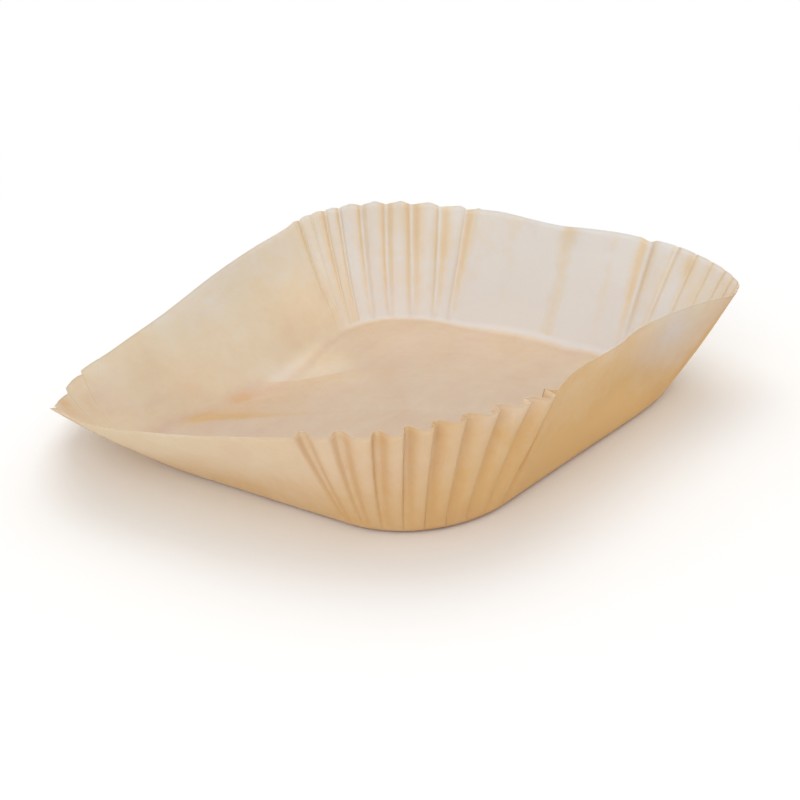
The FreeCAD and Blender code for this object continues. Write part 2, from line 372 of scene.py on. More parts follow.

# Warmth of the paper, 0 pale to 1 amber: place, inside low and high, outside low and high. The
# outside's warmer values are painted shade, with painted glow of light through the paper, on walls
# that face away from the light.
TINT = [
    (0, 0.38, 0.3, 1, 0.92), (25, 0.35, 0.28, 1.02, 0.9),
    (46, 0.32, 0.25, 1.08, 0.92), (58, 0.3, 0.2, 1.08, 0.74),
    (72, 0.3, 0.2, 1.02, 0.4), (84, 0.28, 0.2, 0.98, 0.36),
    (93, 0.26, 0.2, 0.95, 0.62), (101, 0.22, 0.2, 1, 0.92),
    (118, 0.14, 0.14, 0.75, 0.55), (145.4, -0.04, -0.02, 0.6, 0.4),
    (190, -0.08, -0.05, 0.6, 0.35), (237.4, -0.03, 0.04, 0.62, 0.4),
    (264, -0.01, 0.06, 0.62, 0.42), (280, 0, 0.05, 0.6, 0.4),
    (290, 0.3, 0.24, 0.6, 0.38), (300, 0.4, 0.22, 0.6, 0.38),
    (330, 0.44, 0.2, 0.6, 0.35), (355, 0.5, 0.28, 0.62, 0.4),
    (383, 0.55, 0.42, 0.66, 0.45), (409.5, 0.55, 0.46, 0.8, 0.7),
    (436.2, 0.5, 0.4, 0.75, 0.5), (482, 0.42, 0.32, 0.8, 0.42),
    (528.2, 0.45, 0.4, 0.85, 0.55), (554.9, 0.5, 0.45, 0.95, 0.7),
]

BANDS = [
    Band(162.5, 2.6, 0.1),
    Band(185, 4.2, 0.3),
    Band(212, 4, 0.08),
    Band(281, 2.6, 0.2),
    Band(318, 7, 0.06),
    Band(372, 6, 0.06),
]

PATCHES = {
    Side.OUTSIDE: [
        # Wall across +X: a pale field, with painted amber shade and painted glow of light through
        # the paper below it and along the right corner, and small patches of painted light and
        # shade.
        Patch(82, 1.76, 16, 0.38, -0.11, 0.75, -0.11),
        Patch(99, 1.6, 6, 0.45, 0.12),
        Patch(70, 1.15, 26, 0.3, 0.1),
        Patch(43, 2, 9, 0.14, -0.22, 0.3),
        Patch(48, 1.6, 24, 0.35, -0.05, 0, -0.015),
        Patch(62, 1.22, 20, 0.18, -0.06, 0, 0.055),
        Patch(65, 1.55, 13, 0.2, 0.13, 0, -0.02),
        Patch(90, 1.45, 5, 0.15, -0.1, 0.3),
        Patch(77, 1.42, 8, 0.15, 0.16),
        Patch(81, 1.02, 13, 0.15, tone=0.05),
        Patch(102, 1.95, 5, 0.12, -0.1, 0.7),
        # Front corner: the tops of its last pleats, greyer.
        Patch(577, 1.98, 10, 0.13, -0.42, 0.4, -0.03),
    ],
    Side.INSIDE: [
        # Front corner: a painted highlight along the tops of its last pleats.
        Patch(581, 2, 8, 0.12, tone=0.12),
        # Right corner, which is pinched, and the wall across +Y, with a little painted shade.
        Patch(132.5, 1.87, 3.2, 0.1, 0.34),
        Patch(126.5, 1.7, 5, 0.25, 0.12),
        Patch(143.5, 1.55, 3.5, 0.4, 0.1),
        Patch(183, 1.92, 6, 0.13, 0.1, 0, -0.04),
        Patch(172, 1.35, 9, 0.3, 0.06),
        Patch(195, 1.6, 45, 0.5, tone=-0.018),
        Patch(226, 1.8, 9, 0.4, 0.03),
        # Wall across -X and the left corner, which is opened out, with painted shade on the wall
        # where it leans up to the light, and painted light along its base fold and on the floor
        # beside it.
        Patch(318, 1.25, 14, 0.3, 0.06),
        Patch(342, 1.85, 13, 0.2, -0.06),
        Patch(362, 0.55, 6, 0.3, 0.32, 0, 0.05),
        Patch(381, 0.1, 7, 0.4, 0.36, 0, 0.03),
        Patch(372, 1.25, 12, 0.3, 0, 0.05, 0.04),
        Patch(387.5, 1.85, 5, 0.22, -0.16),
        Patch(366, 0, 32, 0.5, 0.22, 0.15, 0.06),
        Patch(350, 0.3, 14, 0.3, -0.05, 0, 0.05),
        Patch(325, 0.56, 22, 0.2, -0.18, -0.5, 0.06),
        Patch(318, 0, 20, 0.35, -0.02, -0.6, 0.12),
        Patch(338, 1.7, 34, 0.7, -0.02, 0, -0.07),
        Patch(319, 1.9, 7, 0.2, -0.07),
        Patch(343, 1.7, 8, 0.2, 0.03),
        Patch(394, 1.45, 8, 0.25, -0.05, 0, 0.02),
        Patch(320, 1.98, 26, 0.3, tone=-0.05),
        Patch(358, 1.85, 14, 0.3, -0.03, 0, -0.035),
        Patch(307, 1.25, 15, 0.35, -0.02, 0, 0.055),
        Patch(384, 1.6, 18, 0.8, 0.04, 0.05, -0.095),
        Patch(408, 1.85, 12, 0.4, 0.04, 0, -0.08),
        Patch(398, 1.5, 9, 0.3, 0, 0.6),
        Patch(410.5, 1.94, 2.4, 0.07, 0.3),
        Patch(416, 1.83, 4, 0.1, 0.25),
        # Back corner, which is tall, with its base fold and the floor beside it: painted light that
        # lifts the shade cast by the tall walls, and a painted highlight along the fold.
        Patch(266, 1.2, 26, 0.8, tone=0.03),
        Patch(284, 1.4, 9, 0.9, tone=0.06),
        Patch(298, 1.25, 8, 0.35, tone=0.05),
        Patch(215, 0.75, 80, 0.35, -0.08, -0.3, 0.06),
        Patch(215, 0, 75, 0.4, 0.08, 0.2, 0.165),
        Patch(268, 0.1, 18, 0.5, 0.02, 0, 0.12),
    ],
}

# The pairs of warmth beside each crease are painted shade with painted glow of light through the
# folded paper.
PLEATS = [
    Pleats(
        Corner.RIGHT,
        feet=[1, 6.5, 12.5, 19, 27, 34.5, 42, 50.5, 58],
        tips=[7.6, 11.4, 15.2, 19.6, 24.6, 31.3, 39.1, 46.6, 56.2],
        depths=[0.5, 0.5, 0.6, 0.6, 0.6, 0.6, 0.7, 1.1, 2.8],
        leans=[-0.3, -0.4, -0.6, -0.8, -0.9, -0.9, -0.9, -0.8, -0.9],
        crease_shades=[
            (0.3, 0.2), (0.3, 0.2), (0.3, 0.2), (0.3, 0.2), (0.35, 0.15),
            (0.4, 0.15), (0.45, 0.2), (0.5, 0.35), (0.24, 0.42),
        ],
        drops=[0.1] * 7 + [0.25, 0.45],
        crown=0.03,
        belly=0.35,
        ease=0.7,
    ),
    Pleats(
        Corner.BACK,
        feet=[-2, 6.8, 17.7, 27.8, 35.2, 42, 46.2, 49.8, 54],
        tips=[0, 9, 17.6, 24.7, 31.8, 38.2, 42.6, 46.8, 51],
        depths=[2.9, 2.8, 3, 2.6, 2.3, 2.1, 2, 0.8, 1.5],
        leans=[0, 0.05, 0.1, 0.15, 0.3, 0.3, 0.25, 0.2, 0.3],
        crease_shades=[
            (0.36, 0.26), (0.34, 0.3), (0.36, 0.42), (0.28, 0.4), (0.16, 0.36),
            (0.1, 0.36), (0.06, 0.32), (0.1, 0.2), (0.1, 0.28),
        ],
        drops=[0.36] * 9,
        crown=0.03,
        belly=0.8,
        arch=0.9,
    ),
    Pleats(
        Corner.LEFT,
        feet=[26, 34, 39.6, 43.6, 47, 50.4, 53.4, 56.2, 59],
        tips=[3, 10.2, 20.8, 33.4, 38.4, 42, 45.6, 49.2, 53.2],
        depths=[0.06, 0.5, 0.55, 0.55, 0.5, 0.5, 0.5, 0.5, 0.5],
        leans=[0.5, 2.4, 2.4, 2.4, 1.6, 1.2, 0.8, 0.4, 0],
        crease_shades=[
            (0, 0), (-0.1, 0.15), (-0.1, 0.15), (0.2, 0.3), (0.3, 0.3),
            (0.2, 0.2), (0.2, 0.2), (0.2, 0.2), (0.2, 0.2),
        ],
        drops=[3.4] * 9,
        crown=0.025,
        slants=(1.2, 11),
        belly=0.1,
        roundness=0.1,
    ),
    Pleats(
        Corner.FRONT,
        feet=[6.675 * groove for groove in range(9)],
        tips=[3, 10.1, 17.3, 24.5, 31.6, 38.5, 45.3, 51.2, 57.5],
        depths=[2.9, 3.2, 3, 3.3, 3.1, 3, 3.3, 3, 3.8],
        leans=[-0.3, -0.25, -0.35, -0.3, -0.4, -0.45, -0.4, -0.45, 0.3],
        crease_shades=[
            (0.25, 0.4), (0.2, 0.45), (0.3, 0.4), (0.25, 0.3), (0.4, 0.35),
            (0.3, 0.2), (0.3, 0.25), (0.3, 0.2), (0.25, 0.15),
        ],
        drops=[0.2] * 9,
        crown=0.09,
        slants=(0.5, 1.15),
        belly=0.3,
    ),
]


@dataclass(frozen=True)
class GrooveShading:
    """How a groove is painted on both sides of its crease: a warm painted shade with painted glow
    of light through the folded paper beside the crease, a fainter halo beyond it, a painted
    highlight on its ridge, and painted light that brightens the crease.

    Places and widths are shares of the reach of a groove's side. The tint grows up the wall
    with the groove, and a shallow groove shows less of it.
    """

    crease_place: float = 0.55
    crease_width: float = 0.45
    halo_place: float = 1.15
    halo_width: float = 0.6
    halo_share: float = 0.3
    ridge_highlight: float = 0.12
    ridge_margin: float = 0.01
    growth_gain: float = 1.6
    full_depth: float = 2.0
    least_shown: float = 0.5
    outside_share: float = 0.4
    glow: float = 0.13

    def shown(self, growth: np.ndarray, depth: np.ndarray) -> np.ndarray:
        """Find the share of the tint that shows at some growths and depths of the grooves."""
        grown = np.clip(growth * self.growth_gain, 0.0, 1.0)
        return grown * np.clip(depth / self.full_depth, self.least_shown, 1.0)


@dataclass(frozen=True)
class Grooves:
    """What the columns of the sheet take from their grooves, one value for each column.

    Foot and tip are the column's places round the tray at the foot and at the rim. Pleated is 1
    in a corner and 0 on a plain wall. Size is the place across the groove, from 0 at its crease
    to 0.5, reach is where the side of the groove ends on that scale, and span is half the width
    of the column's panel. Begin is the rise at which the groove starts.
    """

    foot: np.ndarray
    tip: np.ndarray
    pleated: np.ndarray
    size: np.ndarray
    reach: np.ndarray
    span: np.ndarray
    begin: np.ndarray
    depth: np.ndarray
    lean: np.ndarray
    drop: np.ndarray
    crease_shade: np.ndarray
    crown: np.ndarray
    belly: np.ndarray
    roundness: np.ndarray
    arch: np.ndarray


@dataclass
class PaperTray:
    """The whole sheet: its carrier surface, its pleats, its thickness and its paint."""

    name: str = "pressed_paper_tray"
    line: FoldLine = FoldLine()
    thickness: float = 0.2
    floor_rows: int = 5
    fold_rows: int = 12
    wall_rows: int = 20
    wall_columns: int = 34
    fold_pull: float = 0.62
    probe_length: float = 0.4
    probe_rise: float = 0.02
    flank_slope: float = 0.085
    widest_reach: float = 0.49
    groove_start: float = 0.55
    start_spread: float = 0.25
    growth_power: float = 1.15
    full_span: float = 3.5
    groove_shading: GrooveShading = GrooveShading()
    # Warmth of the floor: painted shade where the paper lies on the ground.
    floor_warmth: float = 0.62
    floor_warmth_ends: Pair = (0.05, 0.95)
    outside_warmth_ends: Pair = (0.05, 0.8)
    floor_blush: float = 0.91
    blush_swing: float = 0.35
    blush_place: float = 520.0
    blush_ends: Pair = (0.3, 1.2)
    lift_height: float = 0.8
    seed: int = 7
    rim: ClosedCurve = field(init=False)
    fold: ClosedCurve = field(init=False)
    tint: ClosedCurve = field(init=False)

    def __post_init__(self) -> None:
        """Prepare the curves that the carrier surface and its tint are read from."""
        self.rim = ClosedCurve(RIM, self.line.length)
        self.fold = ClosedCurve(FOLD, self.line.length)
        self.tint = ClosedCurve(TINT, self.line.length)

    def columns(self) -> np.ndarray:
        """Lay out the columns of the mesh round the tray, over the corners and the walls.

        Returns:
            For each column its distance at the foot and at the rim, the number of its groove
            or -1, its signed place across that groove and half the width of its panel.
        """
        corners = []
        for number, pleats in enumerate(PLEATS):
            corner = pleats.columns()
            corner[:2] += pleats.corner.value * self.line.quarter + self.line.straight
            corner[2] += number * len(pleats.feet)
            corners.append(corner)
        parts = []
        share = np.linspace(0.0, 1.0, self.wall_columns + 2)[1:-1]
        plain = np.repeat([[-1.0], [0.5], [0.0]], len(share), axis=1)
        for number, corner in enumerate(corners):
            following = corners[(number + 1) % len(corners)][:2, :1]
            if number == len(corners) - 1:
                following = following + self.line.length
            wall = corner[:2, -1:] + share * (following - corner[:2, -1:])
            parts += [corner, np.concatenate([wall, plain])]
        return np.concatenate(parts, axis=1)

    def grooves(self) -> Grooves:
        """Give every column of the sheet the values of its groove.

        Returns:
            The values.
        """
        foot, tip, number, across, span = self.columns()
        own = np.maximum(number, 0).astype(int)
        counts = [len(pleats.feet) for pleats in PLEATS]
        depth, lean, drop, crease_shades = (
            np.concatenate([getattr(pleats, name) for pleats in PLEATS])[own]
            for name in ("depths", "leans", "drops", "crease_shades")
        )
        crown, belly, ease, roundness, arch, slants = (
            np.repeat([getattr(pleats, name) for pleats in PLEATS], counts, axis=0)[own]
            for name in ("crown", "belly", "ease", "roundness", "arch", "slants")
        )
        after = across > 0.0
        slant = np.where(after, slants[:, 1], slants[:, 0])
        draw = np.random.default_rng(self.seed)
        return Grooves(
            foot=foot,
            tip=tip,
            pleated=(number >= 0).astype(float),
            size=np.abs(across),
            reach=np.minimum(crown + self.flank_slope * (depth + ease) * slant, self.widest_reach),
            span=span,
            begin=self.groove_start + draw.uniform(0.0, self.start_spread, sum(counts))[own],
            depth=depth,
            lean=lean,
            drop=drop,
            crease_shade=np.where(after, crease_shades[:, 1], crease_shades[:, 0]),
            crown=crown,
            belly=belly,
            roundness=roundness,
            arch=arch,
        )

    def carrier(self, distance: np.ndarray, rise: np.ndarray) -> np.ndarray:
        """Read the smooth surface that carries the pleats.

        Args:
            distance: Distances round the tray.
            rise: Places up the sheet.

        Returns:
            The points.
        """
        line, outward = self.line.at(distance)
        inset, radius, bulge = np.moveaxis(self.fold.at(distance), -1, 0)
        rim = self.rim.at(distance)
        base = np.zeros(rim.shape)
        base[..., :2] = line - outward * inset[..., None]
        level = np.zeros(rim.shape)
        level[..., :2] = outward
        slope = rim - base
        slant = np.linalg.norm(slope, axis=-1, keepdims=True)
        slope = slope / slant
        turn = np.arccos(np.clip((slope * level).sum(-1), -1.0, 1.0))
        reach = (radius * np.tan(turn / 2.0))[..., None]
        start = base - level * reach
        end = base + slope * reach
        near = start + level * reach * self.fold_pull
        far = end - slope * reach * self.fold_pull
        fold = np.clip(rise, 0.0, FOLD_TOP)[..., None]
        rest = 1.0 - fold
        folded = (
            rest**3 * start + 3 * rest**2 * fold * near + 3 * rest * fold**2 * far + fold**3 * end
        )
        wall = np.clip(rise - FOLD_TOP, 0.0, 1.0)[..., None]
        points = np.where(wall > 0.0, end + (rim - end) * wall, folded)
        away = np.cross(np.cross(slope, level), slope)
        away = away / np.maximum(np.linalg.norm(away, axis=-1, keepdims=True), TINY)
        swell = (bulge * np.sin(math.pi * wall[..., 0]))[..., None]
        return points + away * swell

    def growth(self, grooves: Grooves, rise: np.ndarray) -> np.ndarray:
        """Find how far the grooves have grown, from 0 where they start to 1 at the rim."""
        grown = (rise - grooves.begin) / (RIM_TOP - grooves.begin)
        return np.clip(grown, 0.0, 1.0) ** self.growth_power

    def pleat(self, grooves: Grooves, distance: np.ndarray, rise: np.ndarray) -> np.ndarray:
        """Lay the pleats into the carrier surface.

        Args:
            grooves: The grooves of the columns.
            distance: Distances round the tray.
            rise: Places up the sheet.

        Returns:
            The points of the sheet.
        """
        step = self.probe_length
        along = self.carrier(distance + step, rise) - self.carrier(distance - step, rise)
        lower = self.carrier(distance, np.maximum(rise - self.probe_rise, 0.0))
        upper = self.carrier(distance, np.minimum(rise + self.probe_rise, RIM_TOP))
        upward = upper - lower
        inward = np.cross(upward, along)
        for direction in (inward, along, upward):
            direction /= np.maximum(np.linalg.norm(direction, axis=-1, keepdims=True), TINY)

        size, reach, pleated = grooves.size, grooves.reach, grooves.pleated
        flank = np.clip((size - grooves.crown) / (reach - grooves.crown), 0.0, 1.0)
        fall = flank + grooves.roundness * (flank * flank * (3.0 - 2.0 * flank) - flank)
        panel = np.clip((size - reach) / (0.5 - reach), 0.0, 1.0)
        growth = self.growth(grooves, rise)
        fall_in = grooves.depth * growth * (1.0 - fall) * pleated
        fullness = np.minimum(grooves.span / self.full_span, 1.0) ** 2
        crest = growth * np.sin(0.5 * math.pi * panel) * pleated * fullness
        share = np.clip(rise - FOLD_TOP, 0.0, 1.0)
        lift = (grooves.arch * crest - grooves.drop * fall_in) * share**2
        points = self.carrier(distance, rise)
        points += inward * (fall_in - grooves.belly * crest)[..., None]
        points += along * (fall_in * grooves.lean)[..., None]
        points += upward * lift[..., None]
        return points

    def paint(self, grooves: Grooves, distance: np.ndarray, rise: np.ndarray) -> Paint:
        """Work out the warmth, the blush and the painted light and shade of both sides of the
        sheet.

        Args:
            grooves: The grooves of the columns.
            distance: Distances round the tray.
            rise: Places up the sheet.

        Returns:
            The values of each kind for each side.
        """
        tint = self.groove_shading
        place = grooves.size / grooves.reach
        crease = grooves.crease_shade * bell(place, tint.crease_place, tint.crease_width)
        halo = tint.halo_share * grooves.crease_shade * bell(place, tint.halo_place, tint.halo_width)
        ridge = tint.ridge_highlight * bell(grooves.size, 0.0, grooves.crown + tint.ridge_margin)
        shown = tint.shown(self.growth(grooves, rise), grooves.depth) * grooves.pleated

        share = np.clip(rise - FOLD_TOP, 0.0, 1.0)
        inside_low, inside_high, outside_low, outside_high = np.moveaxis(
            self.tint.at(distance), -1, 0
        )
        inside = inside_low + (inside_high - inside_low) * share
        # The floor is painted warmer, as painted shade where the paper lies on the ground.
        inside += (self.floor_warmth - inside) * (1.0 - smooth_step(rise, *self.floor_warmth_ends))
        # Painted shade beside each crease, with painted glow of light through the folded paper, a
        # fainter halo, and a painted highlight on each ridge.
        inside += shown * (crease + halo - ridge)
        for band in BANDS:
            inside += band.warm(distance, rise)
        outside_share = smooth_step(share, *self.outside_warmth_ends)
        outside = outside_low + (outside_high - outside_low) * outside_share
        # The painted shade of the creases shows on the outside too.
        outside += shown * tint.outside_share * crease

        turned = 2.0 * math.pi * (distance - self.blush_place) / self.line.length
        blush = self.floor_blush + self.blush_swing * np.cos(turned)
        blush = blush * (1.0 - smooth_step(rise, *self.blush_ends))
        # Painted light: the shaded creases on the inside are brightened as if lit through the
        # paper.
        glow = 1.0 + tint.glow * shown * crease
        paint = {
            "warmth": {Side.INSIDE: inside, Side.OUTSIDE: outside},
            "blush": {Side.INSIDE: blush.copy(), Side.OUTSIDE: blush.copy()},
            "tone": {Side.INSIDE: glow, Side.OUTSIDE: np.ones(rise.shape)},
        }
        for side, patches in PATCHES.items():
            for patch in patches:
                weight = patch.weight(distance, rise, self.line.length)
                for name, sides in paint.items():
                    sides[side] += getattr(patch, name) * weight
        return paint

    def sheet(self) -> tuple[np.ndarray, Paint]:
        """Build the grid of the sheet, from the edge of the floor to the rim.

        Returns:
            Its points and its paint.
        """
        grooves = self.grooves()
        fold_steps = np.linspace(0.0, FOLD_TOP, self.fold_rows + 1)
        wall_steps = np.linspace(0.0, 1.0, self.wall_rows + 1)[1:]
        steps = np.concatenate([fold_steps, FOLD_TOP + wall_steps])[:, None]
        share = np.clip(steps - FOLD_TOP, 0.0, 1.0)
        distance = grooves.foot + (grooves.tip - grooves.foot) * share
        rise = np.repeat(steps, len(grooves.foot), axis=1)
        return self.pleat(grooves, distance, rise), self.paint(grooves, distance, rise)

    def build(self) -> bpy.types.Object:
        """Make the mesh of the tray, an inner and an outer skin joined along the rim.

        Returns:
            The tray as a Blender object, in metres.
        """
        sheet, paint = self.sheet()
        steps = np.arange(1, self.floor_rows)[:, None] / self.floor_rows
        floor = sheet[0] * steps[..., None]
        grid = np.concatenate([floor, sheet])
        grid[..., 2] += self.thickness
        outer = grid - self.normals(grid) * self.thickness
        outer[: len(floor), :, 2] = 0.0
        outer[..., 2] = np.maximum(outer[..., 2], 0.0)
        middles = np.array([[0.0, 0.0, self.thickness], [0.0, 0.0, 0.0]])
        points = np.concatenate([grid.reshape(-1, 3), outer.reshape(-1, 3), middles])

        fields = {"lift": np.clip(points[:, 2] / self.lift_height, 0.0, 1.0)}
        middle_paint = {"warmth": self.floor_warmth, "blush": self.floor_blush, "tone": 1.0}
        for name, middle in middle_paint.items():
            values = []
            for side_values in paint[name].values():
                floor_values = middle + (side_values[0] - middle) * steps**2
                values.append(np.concatenate([floor_values, side_values]).reshape(-1))
            fields[name] = np.concatenate([*values, np.full(2, middle)])

        mesh = bpy.data.meshes.new(self.name)
        mesh.from_pydata((points * MM).tolist(), [], self.faces(*grid.shape[:2]))
        for name, values in fields.items():
            attribute = mesh.attributes.new(name, "FLOAT", "POINT")
            attribute.data.foreach_set("value", values.astype(np.float32))
        mesh.polygons.foreach_set("use_smooth", [True] * len(mesh.polygons))
        mesh.update()
        tray = bpy.data.objects.new(self.name, mesh)
        bpy.context.scene.collection.objects.link(tray)
        return tray

    @staticmethod
    def faces(rows: int, count: int) -> list[list[int]]:
        """List the faces of both skins, of the rim and round the two middles.

        Args:
            rows: Rows of each skin, from the middle of the floor to the rim.
            count: Columns of each skin.

        Returns:
            The corners of each face, all turned to the outside of the paper.
        """
        size = rows * count
        column = np.arange(count)
        following = (column + 1) % count
        start = np.arange(rows - 1)[:, None] * count
        above = start + count
        corners = [start + column, above + column, above + following, start + following]
        quads = np.stack(corners, axis=-1).reshape(-1, 4)
        top = size - count
        under = size + top
        rim = np.stack([top + column, under + column, under + following, top + following], axis=-1)
        inner, outer = np.full(count, 2 * size), np.full(count, 2 * size + 1)
        inner_fan = np.stack([inner, column, following], axis=-1)
        outer_fan = np.stack([outer, size + following, size + column], axis=-1)
        skins = [quads, quads[:, ::-1] + size, rim, inner_fan, outer_fan]
        return [face for skin in skins for face in skin.tolist()]

    @staticmethod
    def normals(grid: np.ndarray) -> np.ndarray:
        """Find the unit normals of a closed grid, pointing to the inside of the tray.

        Args:
            grid: Points in rows from the floor to the rim and columns round the tray.

        Returns:
            One normal for each point.
        """
        along = np.roll(grid, -1, axis=1) - np.roll(grid, 1, axis=1)
        up = np.gradient(grid, axis=0)
        normal = np.cross(up, along)
        size = np.linalg.norm(normal, axis=-1, keepdims=True)
        return normal / np.maximum(size, TINY)

    @staticmethod
    def dress(tray: bpy.types.Object, paper: bpy.types.Material) -> None:
        """Give the tray its paper, and its place in the part.

        Args:
            tray: The tray.
            paper: Its finish.
        """
        tray.data.materials.append(paper)
        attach(tray, "root")
        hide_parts("paper_liner")


@dataclass(frozen=True)
class Grain:
    """A noise field of the paper: how fine it is, how far it moves a colour, and its bumps."""

    scale: float
    gain: float
    detail: float = 4.0
    stretch: Triple = (1.0, 1.0, 1.0)
    roughness: float = 0.55
    bump_strength: float = 0.0
    bump_height: float = 0.0


class NodeBoard:
    """A shader node tree with short ways to add and join nodes."""

    def __init__(self, tree: bpy.types.NodeTree) -> None:
        """Take over the node tree of a material or world, and empty it."""
        self.tree = tree
        tree.nodes.clear()

    def add(self, kind: str, inputs: dict | None = None, **settings: object) -> bpy.types.Node:
        """Add a node.

        Args:
            kind: Name of the node's type, without its "ShaderNode" start.
            inputs: A value or a socket for each named or numbered input.
            settings: Values of the node's own properties.

        Returns:
            The node.
        """
        node = self.tree.nodes.new("ShaderNode" + kind)
        for name, value in settings.items():
            setattr(node, name, value)
        for name, value in (inputs or {}).items():
            if isinstance(value, bpy.types.NodeSocket):
                self.tree.links.new(value, node.inputs[name])
            else:
                node.inputs[name].default_value = value
        return node

    def math(self, operation: str, *values: object) -> bpy.types.NodeSocket:
        """Add a math node for some values or sockets, and give back its result."""
        return self.add("Math", dict(enumerate(values)), operation=operation).outputs[0]

    def ramp(self, value: bpy.types.NodeSocket, stops: list[tuple]) -> bpy.types.NodeSocket:
        """Turn a value into a colour.

        Args:
            value: The value.
            stops: Place and colour of each stop, rising.

        Returns:
            The colour.
        """
        node = self.add("ValToRGB", {"Fac": value})
        elements = node.color_ramp.elements
        while len(elements) < len(stops):
            elements.new(0.5)
        for element, (place, colour) in zip(elements, stops):
            element.position = place
            element.color = (*colour, 1.0)
        return node.outputs["Color"]

    def noise(self, place: bpy.types.NodeSocket, grain: Grain) -> bpy.types.NodeSocket:
        """Add a noise field.

        Args:
            place: Coordinates.
            grain: How fine the field is.

        Returns:
            The field, about 0.5.
        """
        moved = self.add("Mapping", {"Vector": place, "Scale": grain.stretch}).outputs["Vector"]
        inputs = {"Vector": moved, "Scale": grain.scale, "Detail": grain.detail}
        return self.add("TexNoise", inputs | {"Roughness": grain.roughness}).outputs["Fac"]

    def seen_directly(self) -> bpy.types.NodeSocket:
        """Find out whether a surface is seen by the eye, in a gloss or through glass.

        Returns:
            1 where it is and 0 elsewhere.
        """
        path = self.add("LightPath").outputs
        direct = self.math("MAXIMUM", path["Is Camera Ray"], path["Is Glossy Ray"])
        return self.math("MAXIMUM", direct, path["Is Transmission Ray"])


@dataclass(frozen=True)
class FloorCrease:
    """A faint crease in the floor, lit along one side and shaded along the other.

    Places run across it from one side to the other, with the warmth that each one adds. It
    fades out along its length, beyond its core.
    """

    middle: Pair = (-57.5, 2.0)
    degrees: float = 55.0
    half_length: float = 25.0
    half_width: float = 15.0
    core: float = 0.3
    places: tuple[float, ...] = (0.0, 0.3, 0.48, 0.52, 0.65, 0.85, 1.0)
    tones: tuple[float, ...] = (0.0, 0.05, 0.08, -0.14, -0.14, -0.08, 0.0)
    grey: float = 0.5

    def level(self, board: NodeBoard, place: bpy.types.NodeSocket) -> bpy.types.NodeSocket:
        """Add the nodes of the crease.

        Args:
            board: The tree of the paper.
            place: Coordinates in metres.

        Returns:
            Warmth to add.
        """
        angle = math.radians(self.degrees)
        ahead = (math.cos(angle), math.sin(angle), 0.0)
        beside = (-math.sin(angle), math.cos(angle), 0.0)
        middle = (self.middle[0] * MM, self.middle[1] * MM, 0.0)
        offset = board.add("VectorMath", {0: place, 1: middle}, operation="SUBTRACT").outputs[0]
        across, along = (
            board.add("VectorMath", {0: offset, 1: axis}, operation="DOT_PRODUCT").outputs["Value"]
            for axis in (beside, ahead)
        )
        half = self.half_width * MM
        limits = {"Value": across, "From Min": -half, "From Max": half}
        share = board.add("MapRange", limits).outputs["Result"]
        stops = [(stop, (self.grey + tone,) * 3) for stop, tone in zip(self.places, self.tones)]
        tone = board.math("SUBTRACT", board.ramp(share, stops), self.grey)
        fade = {"Value": board.math("ABSOLUTE", along), "To Min": 1.0, "To Max": 0.0}
        fade["From Min"] = self.core * self.half_length * MM
        fade["From Max"] = self.half_length * MM
        window = board.add("MapRange", fade, interpolation_type="SMOOTHSTEP").outputs["Result"]
        return board.math("MULTIPLY", tone, window)


